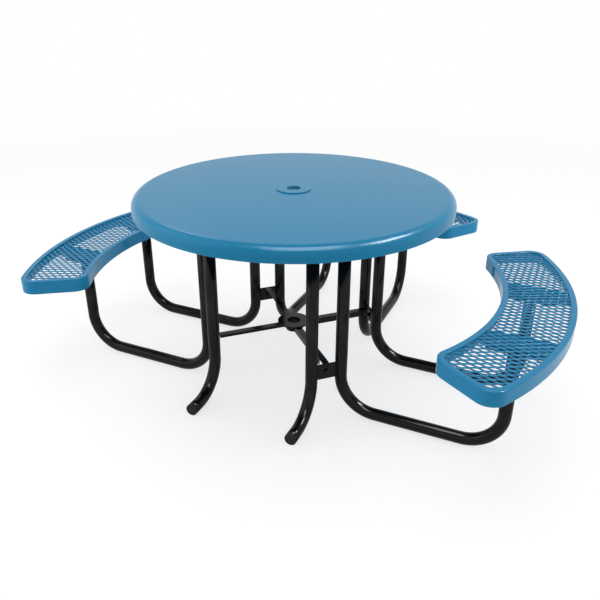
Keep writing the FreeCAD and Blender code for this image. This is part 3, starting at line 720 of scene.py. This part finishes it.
# %% [markdown]
# The frame is round tube, bent in a press. A curve object with a round bevel could draw it, but
# only its skin, and the tubes are hollow. So a circle is carried along the path, and because each
# path lies in an upright plane, two directions are enough for the circle: the plane's own sideways
# direction and the path's normal in the plane. The same circle, smaller, makes the bore, and the
# two skins join at the tube's open ends.

# %% The bent tubes
tube_radius = 0.0222
tube_wall = 0.003
bend_radius = 0.133
leg_offset = 0.200
leg_reach = 0.281
riser_reach = 0.857
leg_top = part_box("top_plate_back_right")[0].z
riser_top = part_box("right_seat_plate_clockwise")[0].z
foot_end = pole.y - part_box("front_leg_left")[0].y
tube_sides = 40
bend_points = 22
bend_shoulder_share = 0.03


def path_normals(path):
    """The normal of each point of a path (n, 2): (-q, p), where (p, q) is the mean of its two runs.

    The runs are made unit vectors before the mean is taken, and the mean after it.
    """
    runs = np.diff(path, axis=0)
    runs /= np.linalg.norm(runs, axis=1, keepdims=True)
    mean = np.vstack([runs[:1], runs[:-1] + runs[1:], runs[-1:]])
    mean /= np.linalg.norm(mean, axis=1, keepdims=True)
    return np.stack([-mean[:, 1], mean[:, 0]], axis=1)


def tube_grid(path, across):
    """Rings (rows, tube_sides, 3), out along the skin and back in the bore.

    A ring's points are p + r (cos v n + sin v y), with n the path's normal and y sideways.
    """
    normal = path_normals(path)
    v = np.linspace(0, 2 * np.pi, tube_sides, endpoint=False)[None, :, None]
    skins = []
    for radius in (tube_radius, tube_radius - tube_wall):
        in_plane = path[:, None] + radius * np.cos(v) * normal[:, None]
        sideways = across + radius * np.broadcast_to(np.sin(v), (*in_plane.shape[:2], 1))
        skins.append(np.concatenate([in_plane[..., :1], sideways, in_plane[..., 1:]], axis=-1))
    return np.concatenate([skins[0], skins[1][::-1]])


seat_path = rounded([
    (leg_reach, leg_top), (leg_reach, tube_radius, bend_radius),
    (riser_reach, tube_radius, bend_radius), (riser_reach, riser_top),
], bend_points, closed=False, shoulder_share=bend_shoulder_share)
foot_path = rounded([
    (leg_reach, leg_top), (leg_reach, tube_radius, bend_radius), (foot_end, tube_radius),
], bend_points, closed=False, shoulder_share=bend_shoulder_share)

for side, turn in sides.items():
    for end, sign in (("clockwise", -1), ("anticlockwise", 1)):
        ring_piece(f"{side}_bent_tube_{end}",
                   to_side(tube_grid(seat_path, sign * leg_offset), turn),
                   "frame_powder_coat", [f"{side}_seat_tube_{end}"])
open_side = -math.pi / 2
for end, sign in (("left", -1), ("right", 1)):
    ring_piece(f"{end}_bent_front_leg",
               to_side(tube_grid(foot_path, sign * leg_offset), open_side),
               "frame_powder_coat", [f"front_leg_{end}"])

# %% [markdown]
# Plates, braces, channels, bolts and nuts keep the shape of their solids, so drawing them again
# would add nothing. But real steel has no perfectly sharp edge, and under a coat every edge
# catches a thin line of light. So each of these solids is copied, its loose triangles are welded
# and its flat faces joined, and a small bevel rounds what is left of the edges.

# %% Rounded edges for the plain steel
plate_round = 0.0010
hardware_round = 0.0006
flat_angle = math.radians(0.5)
sharp_angle = math.radians(35)
bevel_segments = 2
drawn_again = ("table_top", "umbrella_disc", "seat_rim", "seat_mesh", "seat_tube", "front_leg")


def softened(node, width):
    """A copy of a solid with its doubles merged, coplanar faces joined and edges bevelled."""
    source = frame["nodes"][node].data
    points = np.empty(len(source.vertices) * 3)
    source.vertices.foreach_get("co", points)
    corners = np.empty(len(source.loops), dtype=int)
    source.loops.foreach_get("vertex_index", corners)
    piece = make_piece(f"{node}.eased", points.reshape(-1, 3), corners.reshape(-1, 3),
                       slot_of_node[node], [node])
    work = bmesh.new()
    work.from_mesh(piece.data)
    bmesh.ops.remove_doubles(work, verts=work.verts, dist=merge_distance)
    bmesh.ops.dissolve_limit(work, angle_limit=flat_angle, verts=work.verts, edges=work.edges)
    work.to_mesh(piece.data)
    work.free()
    bevel = piece.modifiers.new("eased_edges", "BEVEL")
    bevel.width = width
    bevel.segments = bevel_segments
    bevel.limit_method = "ANGLE"
    bevel.angle_limit = sharp_angle
    bevel.harden_normals = True
    return piece


for node in slot_of_node:
    if not any(piece_name in node for piece_name in drawn_again):
        softened(node, hardware_round if "bolts" in node or "nuts" in node else plate_round)

# %% [markdown]
# The joints of the frame are welded before it is coated, and the coat keeps the weld's ripples. A
# bump in the material would only shade the joint, and a weld also fills its corner. So a bead is a
# thin tube along the seam whose radius swells and shrinks in even steps. Round a tube it closes on
# itself. Along a plate it thins to nothing at both ends.

# %% The weld beads
bead_radius = 0.0032
ripple_pitch = 0.0028
ripple_share = 0.10
points_per_ripple = 6
bead_sides = 8
blunt_end = 1e-4


def bead(spine, first, second, closed):
    """Rings round a spine (n, 3): p + r (cos v a + sin v b).

    r = R (1 + k cos(2 pi s / pitch)), where s is the length along the spine. An open bead's radius
    is also times sqrt(1 - t^2) with t from -1 to 1, and a trace more, so that it stays a tube.
    """
    steps = np.linalg.norm(np.diff(spine, axis=0), axis=1)
    length = np.concatenate([[0], np.cumsum(steps)])
    radius = bead_radius * (1 + ripple_share * np.cos(2 * np.pi * length / ripple_pitch))
    if not closed:
        t = np.linspace(-1, 1, len(spine))
        radius = radius * np.sqrt(1 - t ** 2 * (1 - blunt_end))
    v = np.linspace(0, 2 * np.pi, bead_sides, endpoint=False)[None, :, None]
    swing = np.cos(v) * first[:, None] + np.sin(v) * second[:, None]
    return spine[:, None] + radius[:, None, None] * swing


def ring_bead(x, y, z, radius):
    """A closed bead round an upright tube at x and y, under the face at height z.

    Its spine is the circle (x + r cos u, y + r sin u, z).
    """
    count = int(2 * np.pi * radius / ripple_pitch) * points_per_ripple
    angle = np.linspace(0, 2 * np.pi, count, endpoint=False)
    out = np.stack([np.cos(angle), np.sin(angle), np.zeros(count)], axis=1)
    spine = np.array([x, y, z]) + radius * out
    return bead(spine, out, np.tile([0.0, 0.0, 1.0], (count, 1)), closed=True)


def straight_bead(start, end, first, second):
    """An open bead along start + t (end - start), with two directions square to it."""
    start, end = np.array(start), np.array(end)
    count = int(np.linalg.norm(end - start) / ripple_pitch) * points_per_ripple
    spine = start + np.linspace(0, 1, count)[:, None] * (end - start)
    return bead(spine, np.tile(first, (count, 1)), np.tile(second, (count, 1)), closed=False)


def bead_piece(name, grids):
    """One coated piece from many beads, each a grid that closes on itself both ways."""
    points, faces, start = [], [], 0
    for grid in grids:
        flat = grid.reshape(-1, 3)
        points.append(flat)
        faces.append(outwards(flat, ring_faces(*grid.shape[:2])) + start)
        start += len(flat)
    return make_piece(name, np.vstack(points), np.vstack(faces), "frame_powder_coat")


# %% [markdown]
# Each tube end that stands under a plate is welded to it all round: eight legs under the plates
# of the top, and six posts under the plates of the seats. The beads could be a piece for each
# tube, but they share one coat, so one piece holds all beads of a kind. The middle of a bead lies
# a third of its radius out from the tube and down from the plate, so the bead fills the corner
# between them.

# %% Welds of the tubes
seam_share = 0.35
seam_drop = bead_radius * seam_share
seam_radius = tube_radius + seam_drop
for name, turns, reach, seam_height in (
        ("leg_top_welds", [*sides.values(), open_side], leg_reach, leg_top),
        ("seat_post_welds", sides.values(), riser_reach, riser_top)):
    bead_piece(name, [
        to_side(ring_bead(reach, sign * leg_offset, seam_height - seam_drop, seam_radius), turn)
        for turn in turns for sign in (-1, 1)])

# %% [markdown]
# The corner plates are welded to both tubes on both of their faces, and the braces to the
# underside of the hub plate and to the collar. The four corners are alike, so each bead is worked
# out once, for a corner that lies along X, and turned about the pole axis into its place. The two
# tubes of a corner stand at (reach, offset) and (offset, reach) from the pole axis. So along the
# diagonal both are (reach + offset) / sqrt(2) from it, and (reach - offset) / sqrt(2) to each
# side.

# %% Welds of the corner plates and the hub
corner_turns = [math.radians(turn) for turn in (45, 135, 225, 315)]
corner_reach = (leg_reach + leg_offset) / math.sqrt(2)
corner_half_spread = (leg_reach - leg_offset) / math.sqrt(2) - tube_radius
plate_low, plate_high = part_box("corner_plate_back_right")
plate_half = 0.003
hub_radius = (hub_high.x - hub_low.x) / 2
collar_radius = 0.0304
brace_half = 0.0125
brace_thickness = 0.003

radial, sideways, upright = np.eye(3)
corner_beads, hub_beads = [], []
for turn in corner_turns:
    for face in (-1, 1):
        for end in (-1, 1):
            x = corner_reach + face * (plate_half + seam_drop)
            y = end * (corner_half_spread + seam_drop / 2)
            corner_beads.append(to_side(straight_bead(
                (x, y, plate_low.z), (x, y, plate_high.z), radial, sideways), turn))
    for end in (-1, 1):
        y = end * (brace_half + seam_drop)
        z = hub_low.z - seam_drop
        hub_beads.append(to_side(straight_bead(
            (collar_radius, y, z), (hub_radius, y, z), sideways, upright), turn))
hub_beads.append(to_side(ring_bead(
    0, 0, hub_low.z - brace_thickness - seam_drop, collar_radius + seam_drop), 0))
bead_piece("corner_plate_welds", corner_beads)
bead_piece("hub_welds", hub_beads)

# %% [markdown]
# The studio is a white floor under a white sky. One picture wrapped round the scene could stand
# for it, but the photograph needs a different white for what lights the table, what is mirrored
# in it and what is seen behind it, so each kind of ray finds its own. The sky lights the table
# with little more than half of the white that is seen, and one broad lamp overhead adds the rest,
# so a colour on top shows as it is written and the walls stay deeper. The camera sees a plain
# white sky. Reflections find nearly the same white low down and a dim ceiling higher up, which is
# what keeps a glossy top from turning pale.

# %% The sky
sky_light = 0.60
high_sky = 0.82
high_sky_sines = (0.05, 0.26)
ceiling_share = 0.30
ceiling_sines = (0.57, 0.80)
white = (1, 1, 1, 1)


def seen_or(tree, unseen, seen):
    """A socket with one value for what is seen or found mirrored, and another for other light."""
    ray = add_node(tree, "ShaderNodeLightPath").outputs
    either = add_node(tree, "ShaderNodeMath", {"operation": "MAXIMUM"}, _0=ray["Is Camera Ray"],
                      _1=ray["Is Glossy Ray"])
    either = add_node(tree, "ShaderNodeMath", {"operation": "MAXIMUM"}, _0=either.outputs[0],
                      _1=ray["Is Transmission Ray"])
    return add_node(tree, "ShaderNodeMapRange", Value=either.outputs[0], To_Min=unseen,
                    To_Max=seen).outputs["Result"]


def straight_or(tree, mirrored, straight):
    """A socket with one value for what the camera sees straight, and another for the rest."""
    ray = add_node(tree, "ShaderNodeLightPath").outputs
    return add_node(tree, "ShaderNodeMapRange", Value=ray["Is Camera Ray"], To_Min=mirrored,
                    To_Max=straight).outputs["Result"]


def dimmed_above(tree, upwards, sines, share):
    """A factor that falls smoothly from 1 to the share between two sines of the elevation."""
    return add_node(tree, "ShaderNodeMapRange", {"interpolation_type": "SMOOTHSTEP"},
                    Value=upwards, From_Min=sines[0], From_Max=sines[1], To_Min=1.0,
                    To_Max=share).outputs["Result"]


world = bpy.data.worlds.new("white_studio")
bpy.context.scene.world = world
world.use_nodes = True
sky = world.node_tree
sky.nodes.clear()
towards = add_node(sky, "ShaderNodeTexCoord").outputs["Generated"]
upwards = add_node(sky, "ShaderNodeSeparateXYZ", Vector=towards).outputs["Z"]
mirrored_sky = add_node(sky, "ShaderNodeMath", {"operation": "MULTIPLY"},
                        _0=dimmed_above(sky, upwards, high_sky_sines, high_sky),
                        _1=dimmed_above(sky, upwards, ceiling_sines, ceiling_share))
seen_sky = straight_or(sky, mirrored_sky.outputs[0], 1.0)
background = add_node(sky, "ShaderNodeBackground", Color=white,
                      Strength=seen_or(sky, sky_light, seen_sky))
add_node(sky, "ShaderNodeOutputWorld", Surface=background.outputs["Background"])
print(f"the sky lights the table with {sky_light:.0%} of the white that is seen")

# %% [markdown]
# A white backdrop without a floor would be simpler, but the table would float. So the floor is
# matt and takes the table's soft shadow. Where it is seen, light of its own lifts it to white,
# and its mirror image is lifted less. Far from the table it fades into the sky's light, so no
# horizon shows.

# %% The floor
floor_pale = 0.80
floor_seen = 0.36
floor_lift = 0.70
mirrored_floor_lift = 0.40
floor_radius = 60.0
floor_sides = 64
fade_start, fade_end = 2.0, 6.0


def white_floor():
    """A matt floor, lifted to white where it is seen, that fades into the sky's own light.

    The fade is a straight line in the distance from the origin.
    """
    material = bpy.data.materials.new("floor_white")
    material.use_nodes = True
    tree = material.node_tree
    tree.nodes.clear()
    place = add_node(tree, "ShaderNodeTexCoord").outputs["Object"]
    distance = add_node(tree, "ShaderNodeVectorMath", {"operation": "LENGTH"}, _0=place)
    fade = add_node(tree, "ShaderNodeMapRange", Value=distance.outputs["Value"],
                    From_Min=fade_start, From_Max=fade_end)
    matt = add_node(tree, "ShaderNodeBsdfDiffuse", Color=seen_or(tree, floor_pale, floor_seen))
    seen_lift = straight_or(tree, mirrored_floor_lift, floor_lift)
    lift = add_node(tree, "ShaderNodeEmission", Color=white,
                    Strength=seen_or(tree, 0.0, seen_lift))
    near = add_node(tree, "ShaderNodeAddShader", _0=matt.outputs["BSDF"],
                    _1=lift.outputs["Emission"])
    far = add_node(tree, "ShaderNodeEmission", Color=white,
                   Strength=seen_or(tree, sky_light, 1.0))
    both = add_node(tree, "ShaderNodeMixShader", _0=fade.outputs["Result"],
                    _1=near.outputs["Shader"], _2=far.outputs["Emission"])
    add_node(tree, "ShaderNodeOutputMaterial", Surface=both.outputs["Shader"])
    return material


floor_turn = np.linspace(0, 2 * np.pi, floor_sides, endpoint=False)
floor_points = np.stack([floor_radius * np.cos(floor_turn), floor_radius * np.sin(floor_turn),
                         np.zeros(floor_sides)], axis=1)
floor_mesh = bpy.data.meshes.new("studio_floor")
floor_mesh.from_pydata(floor_points.tolist(), [], [list(range(floor_sides))])
floor_mesh.materials.append(white_floor())
studio_floor = bpy.data.objects.new("studio_floor", floor_mesh)
bpy.context.scene.collection.objects.link(studio_floor)
print(f"floor {2 * floor_radius:.0f} m across")

# %% [markdown]
# Seven lamps shape the table. The broad one overhead makes the top the lightest face, and one on
# each side lifts the walls that face away from the camera's line. The other four only show as
# reflections. They were placed from what they draw on the rolled edge of the top: a streak lies
# where the edge's normal is halfway between the camera and the lamp. A soft box above the camera
# draws the faint streak along the near edge, and a bright strip on the right the strong streak. A
# small box far behind draws the thin line where the edge begins to roll on the left, and a large
# dim one on that side is what makes the wall below that line paler.

# %% The lamps
def soft_lamp(name, direction, distance, width, height, radiance, mirrored):
    """A lamp aimed at the table from a direction of (towards the camera, to its right, up) shares.

    Its width lies level, and its power is radiance times pi times its area. Either it lights the
    surfaces and isn't mirrored in them, or it is only mirrored.
    """
    lamp = bpy.data.lights.new(name, "AREA")
    lamp.shape = "RECTANGLE"
    lamp.size = width
    lamp.size_y = height
    lamp.energy = radiance * math.pi * width * height
    holder = bpy.data.objects.new(name, lamp)
    ahead = Vector((math.sin(camera_azimuth), -math.cos(camera_azimuth), 0))
    right = Vector((math.cos(camera_azimuth), math.sin(camera_azimuth), 0))
    out = ahead * direction[0] + right * direction[1] + Vector((0, 0, direction[2]))
    out.normalize()
    level = Vector((0, 0, 1)).cross(out) if out.z < 1 else right
    level.normalize()
    holder.location = aim + out * distance
    holder.rotation_euler = Matrix((level, out.cross(level), out)).transposed().to_euler()
    holder.visible_diffuse = not mirrored
    holder.visible_glossy = mirrored
    bpy.context.scene.collection.objects.link(holder)
    print(f"{name}: {lamp.energy:.0f} W")


soft_lamp("overhead_lamp", (0, 0, 1), distance=3.2, width=3.0, height=3.0, radiance=1.75,
          mirrored=False)
soft_lamp("left_lamp", (0, -1, 0.07), distance=3.5, width=3.2, height=1.1, radiance=4.0,
          mirrored=False)
soft_lamp("right_lamp", (0, 1, 0.07), distance=3.5, width=3.2, height=1.1, radiance=4.0,
          mirrored=False)
soft_lamp("box_on_the_left", (0.14, -0.74, 0.66), distance=3.58, width=3.4, height=3.3,
          radiance=0.8, mirrored=True)
soft_lamp("small_box_behind_on_the_left", (-0.66, -0.345, 0.67), distance=3.08, width=0.7,
          height=0.5, radiance=3.6, mirrored=True)
soft_lamp("box_above_the_camera", (0.352, 0.076, 0.884), distance=3.2, width=1.9, height=2.0,
          radiance=10.5, mirrored=True)
soft_lamp("strip_on_the_right", (0.115, 0.635, 0.76), distance=3.2, width=1.4, height=0.7,
          radiance=37.0, mirrored=True)
